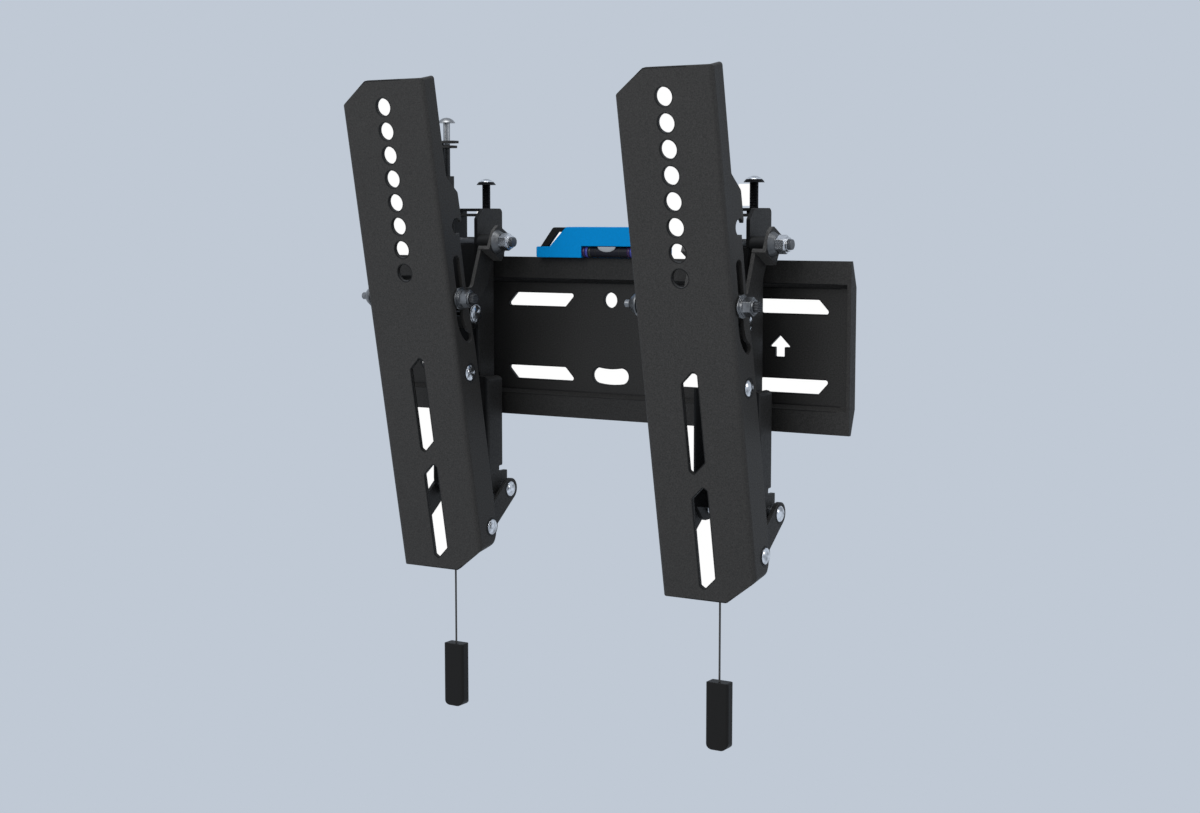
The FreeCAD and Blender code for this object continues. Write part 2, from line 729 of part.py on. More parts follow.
def rod_guide():
    """Post on the bracket's left wall with two folded tabs round the release rod."""
    x1 = -hook_half
    x0 = x1 - latch_sheet
    top = guide_tabs[0]
    low = bolt[1] + tube_radius + 1.0
    post = slab_x([(rod_y0 - 4, low), (rod_y0 + 4, low), (rod_y0 + 4, guide_post_top),
                   (rod_y0 + 1.6, guide_post_top), (rod_y0 + 1.6, top), (rod_y0 - 1.6, top),
                   (rod_y0 - 1.6, guide_post_top), (rod_y0 - 4, guide_post_top)],
                  x0, x1, (1.5, 1.5, 0.8, 0.5, 0, 0, 0.5, 0.8))
    tabs = [slab_z([(x0, rod_y0 - 3.4), (reach, rod_y0 - 3.4), (reach, rod_y0 + 3.4),
                    (x0, rod_y0 + 3.4)], z - guide_tab_thickness, z, (0.5, 2, 2, 0.5))
            for z, reach in zip(guide_tabs, (rod_x0 + 6.4, rod_x0 + 5.4))]
    body = post.fuse(tabs)
    hole = rod_z(rod_x0, rod_y0, rod_radius + running_gap, strap_top - latch_travel - 2, top + 5)
    return clean(body.cut(hole))


def levelling_screw():
    """Screw that stands on the plate's top edge and carries the bracket."""
    tip = plate_half_height + 0.05
    point = Part.makeCone(screw_radius - 0.6, screw_radius, 0.6, V(screw_x, screw_y, tip))
    shaft = rod_z(screw_x, screw_y, screw_radius, tip + 0.6, screw_head_base + 0.5)
    ball = (screw_head_radius ** 2 + screw_head_height ** 2) / (2 * screw_head_height)
    top = screw_head_base + screw_head_height
    head = Part.makeSphere(ball, V(screw_x, screw_y, top - ball))
    head = head.common(rod_z(screw_x, screw_y, screw_head_radius, screw_head_base, top))
    return clean(shaft.fuse([point, head]))


def nut_plate():
    """Threaded plate under the bracket's top tab that the levelling screw turns in."""
    top = hook_top - tab_thickness - tab_gap
    reach = hook_half - sheet
    plate = box(-reach, reach, hook_front + hook_corner[1] + 1, -5, top - tab_thickness, top)
    boss = rod_z(screw_x, screw_y, 3.6, top - tab_thickness, hook_top - tab_thickness)
    boss = boss.common(box(-reach, reach, -30, -2.5, 0, 100))
    hole = rod_z(screw_x, screw_y, screw_radius + 0.05, 50, 70)
    return clean(plate.fuse(boss).cut([hole, strap_opening(50, 70)]))


def pull_cord():
    """Straight cord from the latch's tab down to the handle."""
    return rod_z(0, cord_y, cord_radius, handle_top, latch_bottom + latch_sheet)


def cord_ferrule():
    """Crimp on top of the latch's tab that the cord ends in."""
    low = latch_bottom + latch_sheet
    return rod_z(0, cord_y, 1.8, low, low + 3)


def pull_handle():
    w, d = handle_width / 2, handle_thickness / 2
    low = handle_top - handle_height
    plan = slab_z([(-w, cord_y - d), (w, cord_y - d), (w, cord_y + d), (-w, cord_y + d)],
                  low, handle_top, 1.6)
    front = slab_y([(-w, handle_top), (w, handle_top), (w, low), (-w, low)],
                   cord_y - d - 1, cord_y + d + 1, (1, 1, 4.0, 4.0))
    return clean(plan.common(front))


def level_vial_place():
    return (level_front + vial_radius + 0.2, plate_half_height + vial_radius + 0.1)


def level_body():
    """Moulded body: a low block at each end, sloped shoulders and a window for the vial."""
    base = plate_half_height
    half, top = level_half_length, level_height
    outline = [(-half, 0), (half, 0), (half, level_block_height),
               (shoulder_low[0], level_block_height), (shoulder_high, top),
               (-shoulder_high, top), (-shoulder_low[0], level_block_height),
               (-half, level_block_height)]
    body = slab_y([(x, base + z) for x, z in outline], level_front, level_front + level_depth,
                  (0.8, 0.8, 0.8, 1.0, 2.0, 2.0, 1.0, 0.8))
    vial = vial_half_length
    vy, vz = level_vial_place()
    x0, x1 = vial_middle - vial, vial_middle + vial
    window = box(x0, x1, level_front - 1, vy + 1, base - 1, base + 2 * vial_radius + 0.2)
    bore = Part.makeCylinder(vial_radius + 0.1, 2 * vial, V(x0, vy, vz), V(1, 0, 0))
    return clean(body.cut([window, bore] + level_magnets()))


def level_magnets():
    """Strip under each end of the level that holds it to the plate's edge."""
    middle = sheet / 2 - lip_front
    base = plate_half_height
    return both_ways(lambda way: box(*span(way, vial_half_length + vial_middle + 2, level_half_length - 1),
                                     middle - 1.4, middle + 1.4, base, base + 1.6))


def level_vial():
    """Clear tube of the level, seated in the body's bore."""
    vy, vz = level_vial_place()
    return Part.makeCylinder(vial_radius, 2 * vial_half_length,
                             V(vial_middle - vial_half_length, vy, vz), V(1, 0, 0))


def level_loops():
    """Bent bar over each sloped shoulder, from the low block up to the top."""
    base = plate_half_height
    y0 = level_front + loop_setback
    y1 = y0 + loop_depth
    loops = []
    for way in (1, -1):
        outer = [(loop_outer[0][0], level_block_height), loop_outer[1], loop_outer[2]]
        inner = [loop_inner[2], loop_inner[1], (loop_inner[0][0], level_block_height)]
        points = [(way * x, base + z) for x, z in outer + inner]
        loops.append(slab_y(points, y0, y1, (0, 2.0, 0, 0, 1.0, 0)))
    body = level_body()
    return Part.makeCompound([clean(loop.cut(body)) for loop in loops])


shared = {
    "wall_plate": wall_plate(),
    "level_body": level_body(),
    "level_vial": level_vial(),
    "level_magnets": Part.makeCompound(level_magnets()),
    "level_loops": level_loops(),
}

per_side = {
    "arm": arm(),
    "arm_rivets": arm_rivets(),
    "hook_bracket": hook_bracket(),
    "lower_channel": lower_channel(),
    "upper_links": Part.makeCompound(both_ways(upper_link)),
    "lower_links": Part.makeCompound(both_ways(lower_link)),
    "tilt_axle": axle_bolt(),
    "axle_bushes": axle_bushes(),
    "axle_washers": axle_washers(),
    "axle_nut": axle_nut(),
    "link_bolt": link_bolt(),
    "link_bushes": link_bushes(),
    "cone_washer": cone_washer(),
    "lock_nut": lock_nut(),
    "foot_rivets": foot_rivets(),
    "hinge_rivets": hinge_rivets(),
    "stop_pin": stop_pin(),
    "latch": latch(),
    "guide_pins": guide_pin_set(),
    "latch_spring": latch_spring(),
    "release_rod": release_rod(),
    "rod_guide": rod_guide(),
    "levelling_screw": levelling_screw(),
    "nut_plate": nut_plate(),
    "pull_cord": pull_cord(),
    "cord_ferrule": cord_ferrule(),
    "pull_handle": pull_handle(),
}

for name, shape in shared.items():
    shape.exportStep("parts/%s.step" % name)
for name, shape in per_side.items():
    for side, way in (("left", -1), ("right", 1)):
        copy = shape.copy()
        copy.translate(V(way * arm_spacing / 2, 0, 0))
        copy.exportStep("parts/%s_%s.step" % (name, side))
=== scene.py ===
import math

import bpy
import bmesh
from mathutils import Matrix, Vector


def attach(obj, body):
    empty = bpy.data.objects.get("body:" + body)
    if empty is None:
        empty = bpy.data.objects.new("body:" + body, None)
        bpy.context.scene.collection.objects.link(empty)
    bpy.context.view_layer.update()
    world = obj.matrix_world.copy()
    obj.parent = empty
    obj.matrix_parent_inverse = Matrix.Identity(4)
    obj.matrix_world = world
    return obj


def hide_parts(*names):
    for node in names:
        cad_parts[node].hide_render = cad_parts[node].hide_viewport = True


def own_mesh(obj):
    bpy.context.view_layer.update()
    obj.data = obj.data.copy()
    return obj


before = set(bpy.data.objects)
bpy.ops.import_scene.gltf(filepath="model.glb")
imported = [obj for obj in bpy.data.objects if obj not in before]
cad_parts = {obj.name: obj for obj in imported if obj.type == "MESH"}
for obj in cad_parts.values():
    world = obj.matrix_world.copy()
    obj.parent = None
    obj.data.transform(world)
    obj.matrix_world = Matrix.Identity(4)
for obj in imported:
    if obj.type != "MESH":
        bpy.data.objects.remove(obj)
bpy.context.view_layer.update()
scene = bpy.context.scene

# Sizes in mm in the part's frame: X to the right, Y towards the wall, Z up.
# The materials further down take metres, because their nodes read object coordinates.
mm = 0.001
ARM_X = 80.0
SIDES = (("left", -ARM_X), ("right", ARM_X))
PLATE_END_X = 137.0
TILT = math.radians(11.0)          # tilt of the arms in the photograph
HINGE = (-33.1, -99.2)             # Y and Z of the rivets at the arm's foot
FOOT_RIVET = (-11.0, -82.0)        # Y and Z of the rivets between bracket and foot links
ARM_FACE_TO_HINGE = 12.5
ARM_TOP_TO_HINGE = 222.8
ARM_RIVET = (10.0, 138.1)          # depth behind the arm's face, way down from its top
AXLE = (8.8, 98.7)                 # the same for the axle of the upper links
ARM_SIDE, FOOT_SIDE, HINGE_SIDE = 26.0, 23.0, 26.02   # rivet faces, from the arm's middle
RING_RADIUS = 5.0

CORD_Y = -30.0
CORD_TOP = -64.0
HANDLE_TOP = -165.0
CORD_DIAMETER = 1.0

SCREW_X, SCREW_Y = 4.5, -5.8       # levelling screw, from the arm's middle
LEVEL_CUT_X = 20.35                # beyond this the level is drawn in towards it
LEVEL_SHARE = 0.78
VIAL_Y, VIAL_Z = -7.9, 45.0
VIAL_RADIUS = 2.9
SMOOTH_UP_TO = 28                  # degrees


def node_tree(name):
    mat = bpy.data.materials.new(name)
    mat.use_nodes = True
    tree = mat.node_tree
    return mat, tree, tree.nodes["Principled BSDF"]


def add_noise(tree, scale, detail, rough, stretch=None):
    noise = tree.nodes.new("ShaderNodeTexNoise")
    noise.inputs["Scale"].default_value = scale
    noise.inputs["Detail"].default_value = detail
    noise.inputs["Roughness"].default_value = rough
    place = tree.nodes.new("ShaderNodeTexCoord").outputs["Object"]
    if stretch:
        mapping = tree.nodes.new("ShaderNodeMapping")
        mapping.inputs["Scale"].default_value = stretch
        tree.links.new(place, mapping.inputs["Vector"])
        place = mapping.outputs["Vector"]
    tree.links.new(place, noise.inputs["Vector"])
    return noise.outputs["Fac"]


def ramp(tree, source, low, high, colour_low, colour_high):
    """Colour that goes from colour_low to colour_high while source goes from low to high."""
    node = tree.nodes.new("ShaderNodeValToRGB")
    node.color_ramp.elements[0].position = low
    node.color_ramp.elements[1].position = high
    node.color_ramp.elements[0].color = (*colour_low, 1)
    node.color_ramp.elements[1].color = (*colour_high, 1)
    tree.links.new(source, node.inputs["Fac"])
    return node.outputs["Color"]


def multiply(tree, colour, mask, amount):
    """Colour times amount where the mask is 1: darker under 1, lighter over 1."""
    node = tree.nodes.new("ShaderNodeMixRGB")
    node.blend_type = "MULTIPLY"
    node.inputs["Color2"].default_value = (amount, amount, amount, 1)
    tree.links.new(mask, node.inputs["Fac"])
    tree.links.new(colour, node.inputs["Color1"])
    return node.outputs["Color"]


def calc(tree, kind, a, b=0.0):
    node = tree.nodes.new("ShaderNodeMath")
    node.operation = kind
    for slot, value in ((0, a), (1, b)):
        if isinstance(value, (int, float)):
            node.inputs[slot].default_value = value
        else:
            tree.links.new(value, node.inputs[slot])
    return node.outputs[0]


def dot_of(tree, a, b):
    node = tree.nodes.new("ShaderNodeVectorMath")
    node.operation = "DOT_PRODUCT"
    for slot, value in ((0, a), (1, b)):
        if isinstance(value, tuple):
            node.inputs[slot].default_value = value
        else:
            tree.links.new(value, node.inputs[slot])
    return node.outputs["Value"]


def object_xyz(tree):
    spot = tree.nodes.new("ShaderNodeSeparateXYZ")
    tree.links.new(tree.nodes.new("ShaderNodeTexCoord").outputs["Object"], spot.inputs[0])
    return spot.outputs


def side_offset(tree, x):
    """X measured from the middle of the arm on the same side."""
    return calc(tree, "SUBTRACT", x, calc(tree, "MULTIPLY", calc(tree, "SIGN", x), ARM_X * mm))


def relief(tree, shader, height, strength, edge, distance=0.0001):
    """Bumps from a height value, on edges that look softened by the radius edge."""
    bevel = tree.nodes.new("ShaderNodeBevel")
    bevel.samples = 6
    bevel.inputs["Radius"].default_value = edge
    bump = tree.nodes.new("ShaderNodeBump")
    bump.inputs["Strength"].default_value = strength
    bump.inputs["Distance"].default_value = distance
    tree.links.new(height, bump.inputs["Height"])
    tree.links.new(bevel.outputs["Normal"], bump.inputs["Normal"])
    tree.links.new(bump.outputs["Normal"], shader.inputs["Normal"])


def painted_rim_shade(tree, colour, faces, spot, middle, half_x, half_z):
    """Thin rim of painted shade round the openings in a field given by X and Z."""
    rim = tree.nodes.new("ShaderNodeBevel")
    rim.samples = 8
    rim.inputs["Radius"].default_value = 0.0014
    turned_by = calc(tree, "SUBTRACT", 1.0, dot_of(tree, rim.outputs["Normal"], faces))
    near = ramp(tree, turned_by, 0.006, 0.05, (0, 0, 0), (1, 1, 1))
    across = calc(tree, "SUBTRACT", calc(tree, "ABSOLUTE", spot["X"]), middle)
    field = calc(tree, "MULTIPLY",
                 calc(tree, "LESS_THAN", calc(tree, "ABSOLUTE", across), half_x),
                 calc(tree, "LESS_THAN", calc(tree, "ABSOLUTE", spot["Z"]), half_z))
    return multiply(tree, colour, calc(tree, "MULTIPLY", near, field), 0.12)


def powder_coat(name, tone, speck, shaded=False, rims=None, painted_edge_highlight=False, painted_light_ramp=None):
    """Fine textured coat: grain in the colour, the gloss and the surface.

    shaded paints shade: it darkens the faces that look forward and the inside of the far
    wall. rims gives the middle and half width in X and the half height in Z of the field
    whose openings get a thin rim of painted shade. painted_edge_highlight paints a highlight on
    the cut edges of a sheet, and lift paints light that brightens the coat towards the plate's
    right end.
    """
    mat, tree, shader = node_tree(name)
    shader.inputs["Specular IOR Level"].default_value = 0.22
    grain = add_noise(tree, 1500, 3, 0.7)
    cloud = add_noise(tree, 28, 3, 0.5)
    mix = tree.nodes.new("ShaderNodeMixRGB")
    mix.blend_type = "MULTIPLY"
    mix.inputs["Fac"].default_value = 0.35
    tree.links.new(ramp(tree, grain, 0.35, 0.68, tone, speck), mix.inputs["Color1"])
    tree.links.new(ramp(tree, cloud, 0.3, 0.7, (0.86,) * 3, (1, 1, 1)), mix.inputs["Color2"])
    colour = mix.outputs["Color"]
    faces = tree.nodes.new("ShaderNodeNewGeometry").outputs["True Normal"]
    spot = object_xyz(tree)
    if shaded:
        # Painted shade: faces that look forward and the inside face of the far wall are darkened,
        # as if in the arms' shadow.
        front = calc(tree, "GREATER_THAN", dot_of(tree, faces, (0, -1, 0)), 0.6)
        inside = calc(tree, "GREATER_THAN", dot_of(tree, faces, (1, 0, 0)), 0.6)
        far = calc(tree, "LESS_THAN", side_offset(tree, spot["X"]), 0.0)
        colour = multiply(tree, colour, front, 0.1)
        colour = multiply(tree, colour, calc(tree, "MULTIPLY", inside, far), 0.15)
    if painted_edge_highlight:
        # Painted highlight: the narrow cut edges of the sheet are made about three times lighter,
        # as if lit.
        flat = calc(tree, "ABSOLUTE", dot_of(tree, faces, (1, 0, 0)))
        colour = multiply(tree, colour, calc(tree, "LESS_THAN", flat, 0.6), 3.2)
    if painted_light_ramp:
        # Painted light: the coat grows brighter towards the plate's right end.
        along = calc(tree, "DIVIDE", spot["X"], PLATE_END_X * mm)
        along = ramp(tree, along, 0.0, 1.0, (0, 0, 0), (1, 1, 1))
        colour = multiply(tree, colour, along, painted_light_ramp)
    if rims:
        # Painted shade: a thin dark rim round each opening.
        colour = painted_rim_shade(tree, colour, faces, spot, *rims)
    tree.links.new(colour, shader.inputs["Base Color"])
    gloss = ramp(tree, grain, 0.3, 0.75, (0.62,) * 3, (0.42,) * 3)
    tree.links.new(gloss, shader.inputs["Roughness"])
    relief(tree, shader, grain, 0.25, 0.0005)
    return mat


def thread_wave(tree, axis, pitch):
    wave = tree.nodes.new("ShaderNodeTexWave")
    wave.wave_type = "BANDS"
    wave.bands_direction = axis
    wave.inputs["Scale"].default_value = 1.0 / pitch / 3.2
    place = tree.nodes.new("ShaderNodeTexCoord").outputs["Object"]
    tree.links.new(place, wave.inputs["Vector"])
    return wave.outputs["Fac"]


def zinc(name, tone, rough, edge=0.0004, thread=None, low=0.8, scale=260,
         dark_below=None, painted_shade_middle=None):
    """Plated steel with faint streaks, or with a thread: its axis and pitch.

    low is the share of the tone that the darker streaks keep. dark_below is the height
    under which the metal is nearly black, and painted_shade_middle the same for the half width
    round the arm's middle, painted shade inside the channel.
    """
    mat, tree, shader = node_tree(name)
    shader.inputs["Metallic"].default_value = 1.0
    streak = add_noise(tree, scale, 3, 0.6)
    colour = ramp(tree, streak, 0.36, 0.62, tuple(v * low for v in tone), tone)
    spot = object_xyz(tree)
    if dark_below is not None:
        colour = multiply(tree, colour, calc(tree, "LESS_THAN", spot["Z"], dark_below), 0.1)
    # Painted shade: the metal round the arm's middle is nearly black.
    if painted_shade_middle is not None:
        near = calc(tree, "ABSOLUTE", side_offset(tree, spot["X"]))
        colour = multiply(tree, colour, calc(tree, "LESS_THAN", near, painted_shade_middle), 0.05)
    tree.links.new(colour, shader.inputs["Base Color"])
    gloss = ramp(tree, streak, 0.3, 0.7, (rough + 0.1,) * 3, (rough,) * 3)
    tree.links.new(gloss, shader.inputs["Roughness"])
    if thread:
        relief(tree, shader, thread_wave(tree, *thread), 0.9, edge, 0.0004)
    else:
        relief(tree, shader, streak, 0.12, edge)
    return mat


def plastic(name, tone, rough, edge=0.0005, specular=0.4):
    mat, tree, shader = node_tree(name)
    shader.inputs["Specular IOR Level"].default_value = specular
    shader.inputs["Roughness"].default_value = rough
    grain = add_noise(tree, 900, 2, 0.5)
    colour = ramp(tree, grain, 0.3, 0.7, tuple(v * 0.92 for v in tone), tone)
    tree.links.new(colour, shader.inputs["Base Color"])
    relief(tree, shader, grain, 0.08, edge)
    return mat


def cord_material():
    mat, tree, shader = node_tree("cord black")
    weave = add_noise(tree, 2400, 2, 0.5, (1, 1, 0.35))
    colour = ramp(tree, weave, 0.35, 0.65, (0.03,) * 3, (0.06,) * 3)
    tree.links.new(colour, shader.inputs["Base Color"])
    shader.inputs["Roughness"].default_value = 0.7
    return mat


# One black powder coat in several tones: the arms keep the lightest, and the darker copies for
# the plate, links, brackets and channels are painted shade for parts that sit back, inside or
# behind the arms.
coat = powder_coat("powder coat", (0.030, 0.0295, 0.029), (0.057, 0.056, 0.055),
                   rims=(0.08, 0.013, 1.0))
coat_plate = powder_coat("powder coat plate", (0.013, 0.0128, 0.0126), (0.028, 0.0276, 0.0272),
                         rims=(0.0, 0.13, 0.031), painted_light_ramp=1.75)
coat_links = powder_coat("powder coat links", (0.020, 0.0198, 0.0196), (0.040, 0.0396, 0.0392),
                         painted_edge_highlight=True)
coat_inner = powder_coat("powder coat brackets", (0.022,) * 3, (0.044,) * 3)
coat_shaded = powder_coat("powder coat channels", (0.022,) * 3, (0.044,) * 3, shaded=True)
bright = zinc("zinc", (0.93, 0.95, 0.98), 0.14, low=0.4, scale=420)
# The stop pin's middle, between the bracket's walls, is nearly black: painted shade inside the
# channel.
pin_zinc = zinc("pin zinc", (0.86, 0.88, 0.91), 0.16, low=0.4, scale=420, painted_shade_middle=0.0122)
# Darker zinc for the axle's bushes, washers, nut and collar: painted shade on the axle stack.
painted_shade_zinc = zinc("painted shade zinc", (0.27, 0.275, 0.28), 0.24, low=0.5, scale=120)
nut_zinc = zinc("nut zinc", (0.85, 0.86, 0.88), 0.2, low=0.6)
rod_zinc = zinc("rod zinc", (0.36, 0.365, 0.37), 0.3, dark_below=0.1012)
bolt_tip = zinc("bolt tip", (0.16, 0.163, 0.168), 0.3, thread=("X", 0.0008))
cone_grey = zinc("cone grey", (0.17, 0.172, 0.175), 0.4, low=0.6)
dark_thread_z = zinc("dark threaded upright", (0.014, 0.014, 0.015), 0.4, thread=("Z", 0.0008))
dull_thread_x = zinc("dull threaded across", (0.085, 0.087, 0.09), 0.4, thread=("X", 0.0008))
spring_wire = zinc("spring wire", (0.05, 0.05, 0.052), 0.4, edge=0.0002)
handle_black = plastic("handle black", (0.0085, 0.008, 0.0075), 0.5, specular=0.2)
level_blue = plastic("level blue", (0.0, 0.262, 0.68), 0.6, edge=0.0006, specular=0.06)
level_black = plastic("level black", (0.006, 0.006, 0.006), 0.5, specular=0.2)
magnet_brown = plastic("magnet", (0.07, 0.045, 0.035), 0.7)
cord_black = cord_material()
vial_navy = plastic("vial dark", (0.008, 0.008, 0.014), 0.3, edge=0.0003, specular=0.2)
vial_violet = plastic("vial violet", (0.035, 0.012, 0.06), 0.2, edge=0.0001)
vial_blue = plastic("vial blue", (0.05, 0.06, 0.33), 0.2, edge=0.0001)
vial_olive = plastic("vial olive", (0.02, 0.022, 0.012), 0.2, edge=0.0001)
bubble_pale = plastic("bubble", (0.40, 0.43, 0.47), 0.3, edge=0.0001)
ring_dark = plastic("dark ring", (0.006, 0.006, 0.006), 0.6, edge=0.0001)

NODE_MATERIALS = {
    "wall_plate": coat_plate, "level_body": level_blue, "level_vial": vial_navy,
    "level_loops": level_black, "level_magnets": magnet_brown,
}
SIDE_MATERIALS = {
    "arm": coat, "arm_rivets": bright,
    "hook_bracket": coat_shaded, "lower_channel": coat_shaded, "lower_links": coat_inner,
    "rod_guide": coat_inner, "nut_plate": coat_inner, "guide_pins": coat_inner,
    "foot_rivets": bright, "hinge_rivets": bright, "stop_pin": pin_zinc,
    "link_bolt": bolt_tip, "link_bushes": ring_dark, "cone_washer": cone_grey,
    "lock_nut": nut_zinc,
    "upper_links": coat_links, "tilt_axle": dull_thread_x, "axle_bushes": painted_shade_zinc,
    "axle_washers": painted_shade_zinc, "axle_nut": painted_shade_zinc,
    "latch": coat_inner, "latch_spring": spring_wire, "release_rod": rod_zinc,
    "cord_ferrule": bright, "pull_cord": cord_black, "pull_handle": handle_black,
    "levelling_screw": dark_thread_z,
}
for side, _ in SIDES:
    for name, mat in SIDE_MATERIALS.items():
        NODE_MATERIALS["%s_%s" % (name, side)] = mat


def smooth_by_angle(obj):
    mesh = obj.data
    limit = math.radians(SMOOTH_UP_TO)
    work = bmesh.new()
    work.from_mesh(mesh)
    flags = [len(e.link_faces) == 2 and e.calc_face_angle(0) > limit for e in work.edges]
    work.free()
    for poly in mesh.polygons:
        poly.use_smooth = True
    attribute = mesh.attributes.get("sharp_edge") or mesh.attributes.new(
        "sharp_edge", "BOOLEAN", "EDGE")
    attribute.data.foreach_set("value", flags)


for name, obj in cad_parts.items():
    obj.data.materials.clear()
    obj.data.materials.append(NODE_MATERIALS[name])
    smooth_by_angle(obj)


def new_object(name, data):
    obj = bpy.data.objects.new(name, data)
    scene.collection.objects.link(obj)
    return obj


def mesh_object(name, work):
    data = bpy.data.meshes.new(name)
    work.to_mesh(data)
    work.free()
    return new_object(name, data)


def dress(obj, mat, body):
    """Material, smooth shading and the body that the piece rides on."""
    obj.data.materials.clear()
    obj.data.materials.append(mat)
    if obj.type == "MESH":
        for poly in obj.data.polygons:
            poly.use_smooth = True
    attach(obj, body)
    return obj


def turned(name, profile, start, direction, segments):
    """Solid of revolution: profile is (radius, height) pairs along direction from start."""
    work = bmesh.new()
    rings = []
    for radius, height in profile:
        if radius < 1e-6:
            rings.append([work.verts.new((0, 0, height * mm))])
            continue
        ring = []
        for i in range(segments):
            a = 2 * math.pi * i / segments
            ring.append(work.verts.new((radius * mm * math.cos(a), radius * mm * math.sin(a),
                                        height * mm)))
        rings.append(ring)
    for low, high in zip(rings, rings[1:]):
        for i in range(segments):
            j = (i + 1) % segments
            if len(low) == 1:
                work.faces.new((low[0], high[i], high[j]))
            elif len(high) == 1:
                work.faces.new((low[i], low[j], high[0]))
            else:
                work.faces.new((low[i], low[j], high[j], high[i]))
    bmesh.ops.recalc_face_normals(work, faces=work.faces[:])
    obj = mesh_object(name, work)
    turn = Vector((0, 0, 1)).rotation_difference(Vector(direction))
    obj.matrix_world = Matrix.Translation(Vector(start) * mm) @ turn.to_matrix().to_4x4()
    return obj


def arm_point(depth, down):
    """Y and Z of a point in the arm: depth behind its face, down from its top."""
    y, z = depth - ARM_FACE_TO_HINGE, ARM_TOP_TO_HINGE - down
    return (HINGE[0] + math.cos(TILT) * y - math.sin(TILT) * z,
            HINGE[1] + math.sin(TILT) * y + math.cos(TILT) * z)


def shadow_rings(side, x):
    """Thin dark ring of painted shadow round each rivet head, raised a little off the coat."""
    r = RING_RADIUS
    profile = [(r - 0.9, 0.0), (r - 0.9, 0.16), (r, 0.10), (r, 0.0)]
    arm_body = "arm_set_%s" % side
    for way, tag in ((1, "right"), (-1, "left")):
        for name, reach, (y, z), body in (
                ("arm_rivet_ring_%s_%s" % (tag, side), ARM_SIDE, arm_point(*ARM_RIVET), arm_body),
                ("foot_ring_%s_%s" % (tag, side), FOOT_SIDE, FOOT_RIVET, "bracket_%s" % side),
                ("hinge_ring_%s_%s" % (tag, side), HINGE_SIDE, HINGE, arm_body)):
            ring = turned(name, profile, (x + way * reach, y, z), (way, 0, 0), 40)
            dress(ring, ring_dark, body)


def cord_piece(side, x):
    """Pull cord from the crimp on the latch straight down to its handle."""
    top, low = CORD_TOP, HANDLE_TOP
    cord = bpy.data.curves.new("cord_%s" % side, "CURVE")
    cord.dimensions = "3D"
    cord.bevel_depth = CORD_DIAMETER / 2 * mm
    cord.bevel_resolution = 4
    line = cord.splines.new("NURBS")
    heights = (top, top + (low - top) / 3, top + (low - top) * 2 / 3, low)
    line.points.add(len(heights) - 1)
    for point, height in zip(line.points, heights):
        point.co = (x * mm, CORD_Y * mm, height * mm, 1)
    line.order_u = 3
    line.use_endpoint_u = True
    piece = dress(new_object("cord_%s" % side, cord), cord_black, "latch_set_%s" % side)
    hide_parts("pull_cord_%s" % side)


def screw_head(side, x):
    """Domed cap of the levelling screw in bright zinc: a painted highlight on top of the dark
    head.
    """
    profile = [(4.0, 81.0), (4.2, 81.2), (3.7, 81.75), (2.8, 82.4), (1.5, 82.95), (0, 83.12)]
    head = turned("screw_head_%s" % side, profile, (x + SCREW_X, SCREW_Y, 0), (0, 0, 1), 56)
    dress(head, bright, "screw_%s" % side)


def axle_piece(side, x):
    """Axle bolt with the conical collar and thin end that show left of the arm."""
    collar_end = -27.0
    profile = [(0, -36.0), (1.6, -36.0), (1.85, -35.7), (1.85, -33.2), (2.7, -32.9),
               (4.3, -31.2), (5.6, -29.2), (6.2, -28.2), (6.2, -27.35), (2.5, -27.35),
               (2.5, 35.6), (2.1, 36.0), (0, 36.0)]
    y, z = arm_point(*AXLE)
    piece = turned("axle_%s" % side, profile, (x, y, z), (1, 0, 0), 48)
    dress(piece, dull_thread_x, "links_%s" % side)
    # The collar gets the darker zinc, painted shade.
    piece.data.materials.append(painted_shade_zinc)
    for poly in piece.data.polygons:
        poly.material_index = 1 if poly.center[2] < collar_end * mm else 0
    smooth_by_angle(piece)
    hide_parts("tilt_axle_%s" % side)


def spring_piece(side):
    """Latch spring, copied and carried on the bracket. The latch travels 9 mm when the cord is
    pulled.
    """
    node = "latch_spring_%s" % side
    piece = new_object(node + "_look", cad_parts[node].data.copy())
    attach(piece, "bracket_%s" % side)
    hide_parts(node)
    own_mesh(piece)


for side, x in SIDES:
    shadow_rings(side, x)
    cord_piece(side, x)
    screw_head(side, x)
    axle_piece(side, x)
    spring_piece(side)


def narrowed(name):
    """Copy of a solid of the level whose right end is drawn in."""
    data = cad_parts[name].data.copy()
    for vertex in data.vertices:
        past = vertex.co.x - LEVEL_CUT_X * mm
        if past > 0:
            vertex.co.x = LEVEL_CUT_X * mm + past * LEVEL_SHARE
    piece = new_object(name + "_look", data)
    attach(piece, "plate")
    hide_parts(name)


for name in ("level_body", "level_loops", "level_magnets"):
    narrowed(name)


def half_disc(name, x0, x1, z_top, depth, y0, y1):
    """Bubble seen through the vial: flat along the top, curved below, a little domed."""
    work = bmesh.new()
    steps, rows = 32, 5
    middle, half = (x0 + x1) / 2, (x1 - x0) / 2
    columns = []
    for r in range(rows + 1):
        inset = math.cos(math.pi / 2 * r / rows)
        y = y0 + (y1 - y0) * math.sin(math.pi / 2 * r / rows)
        column = []
        for i in range(steps + 1):
            a = math.pi * i / steps
            column.append(work.verts.new(((middle - half * inset * math.cos(a)) * mm, y * mm,
                                          (z_top - depth * inset * math.sin(a)) * mm)))
        columns.append(column)
    for low, high in zip(columns, columns[1:]):
        for i in range(steps):
            work.faces.new((low[i], low[i + 1], high[i + 1], high[i]))
    bmesh.ops.remove_doubles(work, verts=work.verts[:], dist=1e-7)
    bmesh.ops.recalc_face_normals(work, faces=work.faces[:])
    return mesh_object(name, work)


bubble = half_disc("bubble", x0=-2.4, x1=8.2, z_top=47.75, depth=2.7, y0=-10.85, y1=-11.25)
dress(bubble, bubble_pale, "plate")

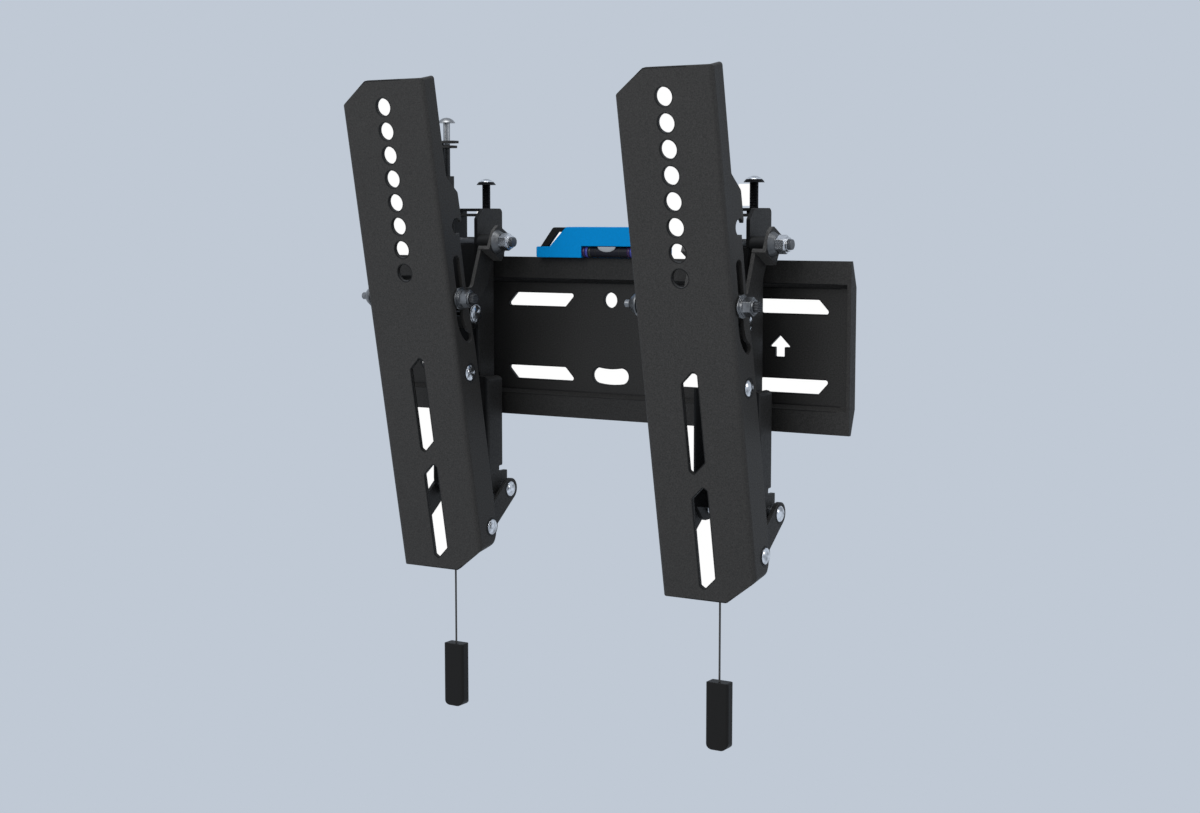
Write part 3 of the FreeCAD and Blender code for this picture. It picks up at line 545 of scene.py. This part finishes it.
# Lines of the vial: place in X, half width and material
VIAL_LINES = ((-4.1, 0.25, ring_dark), (10.1, 0.25, ring_dark), (-11.4, 0.75, vial_violet),
              (-9.6, 0.75, vial_blue), (-7.9, 0.75, vial_olive), (15.6, 0.75, vial_violet),
              (17.3, 0.75, vial_blue))
for i, (line_x, wide, mat) in enumerate(VIAL_LINES):
    inner, outer = VIAL_RADIUS, VIAL_RADIUS + 0.06
    profile = [(inner, -wide), (outer, -wide), (outer, wide), (inner, wide)]
    line = turned("vial_line_%d" % i, profile, (line_x, VIAL_Y, VIAL_Z), (1, 0, 0), 48)
    dress(line, mat, "plate")

# Backdrop: one plain colour, and white where the camera looks through the holes
CAMERA_AT = Vector((0.4973, -0.8208, 0.0643))
BACKDROP = (0.527, 0.584, 0.665, 1)
AMBIENT = (0.96, 0.98, 1.0, 1)
AMBIENT_STRENGTH = 0.36


def arm_patch(x, half, top, low):
    """Strip of the arm's face, between two ways down from its top."""
    corners = []
    for across, down in ((-half, top), (half, top), (half, low), (-half, low)):
        y, z = arm_point(1.0, down)
        corners.append((x + across, y, z))
    return corners


def across_patch(y, x0, x1, z0, z1):
    return [(x0, y, z0), (x1, y, z0), (x1, y, z1), (x0, y, z1)]


def side_patch(x, y0, y1, z0, z1):
    return [(x, y0, z0), (x, y1, z0), (x, y1, z1), (x, y0, z1)]


white_patches = [
    across_patch(0, -128, 128, -38, 38),                            # the plate's openings
    [(-35, -10, 47), (-24, -10, 47), (-24, -10, 56), (-29, -10, 56)],    # the level's loop
    across_patch(SCREW_Y, 76, 84.5, 68.5, 79.2),                    # by the right screw
]
for _, x in SIDES:
    white_patches.append(arm_patch(x, 8, -8, 240))                  # screen holes and slots
    white_patches.append(side_patch(x + 12.5, -26, -3, 44, 66))     # under the bracket's tab

world = bpy.data.worlds.new("studio")
scene.world = world
world.use_nodes = True
wt = world.node_tree

direction = wt.nodes.new("ShaderNodeTexCoord").outputs["Generated"]
mask = None
for patch in white_patches:
    rays = [Vector(corner) * mm - CAMERA_AT for corner in patch]
    middle = sum(rays, Vector()) / len(rays)
    inside = None
    for a, b in zip(rays, rays[1:] + rays[:1]):
        edge = a.cross(b).normalized()
        if edge.dot(middle) < 0:
            edge = -edge
        above = calc(wt, "GREATER_THAN", dot_of(wt, direction, tuple(edge)), 0.0)
        inside = above if inside is None else calc(wt, "MULTIPLY", inside, above)
    mask = inside if mask is None else calc(wt, "MAXIMUM", mask, inside)

path = wt.nodes.new("ShaderNodeLightPath").outputs
lighting = wt.nodes["Background"]
lighting.inputs["Color"].default_value = AMBIENT
lighting.inputs["Strength"].default_value = AMBIENT_STRENGTH
tint = wt.nodes.new("ShaderNodeMixRGB")
tint.inputs["Color1"].default_value = BACKDROP
tint.inputs["Color2"].default_value = (1, 1, 1, 1)
wt.links.new(calc(wt, "MULTIPLY", mask, path["Is Camera Ray"]), tint.inputs["Fac"])
plain = wt.nodes.new("ShaderNodeBackground")
wt.links.new(tint.outputs["Color"], plain.inputs["Color"])
direct = calc(wt, "MAXIMUM", path["Is Camera Ray"], path["Is Transmission Ray"])
direct = calc(wt, "MAXIMUM", direct, path["Is Glossy Ray"])
choose = wt.nodes.new("ShaderNodeMixShader")
wt.links.new(direct, choose.inputs["Fac"])
wt.links.new(lighting.outputs["Background"], choose.inputs[1])
wt.links.new(plain.outputs["Background"], choose.inputs[2])
wt.links.new(choose.outputs["Shader"], wt.nodes["World Output"].inputs["Surface"])


def area_light(name, at, target, size, power):
    data = bpy.data.lights.new(name, "AREA")
    data.shape = "RECTANGLE"
    data.size, data.size_y = size
    data.energy = power
    obj = new_object(name, data)
    obj.location = at
    obj.rotation_euler = (Vector(target) - Vector(at)).to_track_quat("-Z", "Y").to_euler()


area_light("key", (-0.15, -1.4, 0.85), (0, 0, 0), (1.2, 1.2), 15.5)
area_light("side", (1.24, 0.11, 0.35), (0, 0, 0), (0.22, 0.32), 1.3)
area_light("top", (0.1, -0.3, 1.4), (0, -0.05, 0), (1.0, 0.6), 6)

CAMERA_DOWN, CAMERA_TURN = 5.94, 31.6      # degrees below level and to the left
camera = new_object("camera", bpy.data.cameras.new("camera"))
camera.data.sensor_width = 36.0
camera.data.sensor_fit = "HORIZONTAL"
camera.data.lens = 55.4
camera.data.clip_start = 0.01
camera.location = CAMERA_AT
camera.rotation_euler = (math.radians(90 - CAMERA_DOWN), 0, math.radians(CAMERA_TURN))
scene.camera = camera
scene.view_settings.view_transform = "Standard"

bpy.context.view_layer.update()
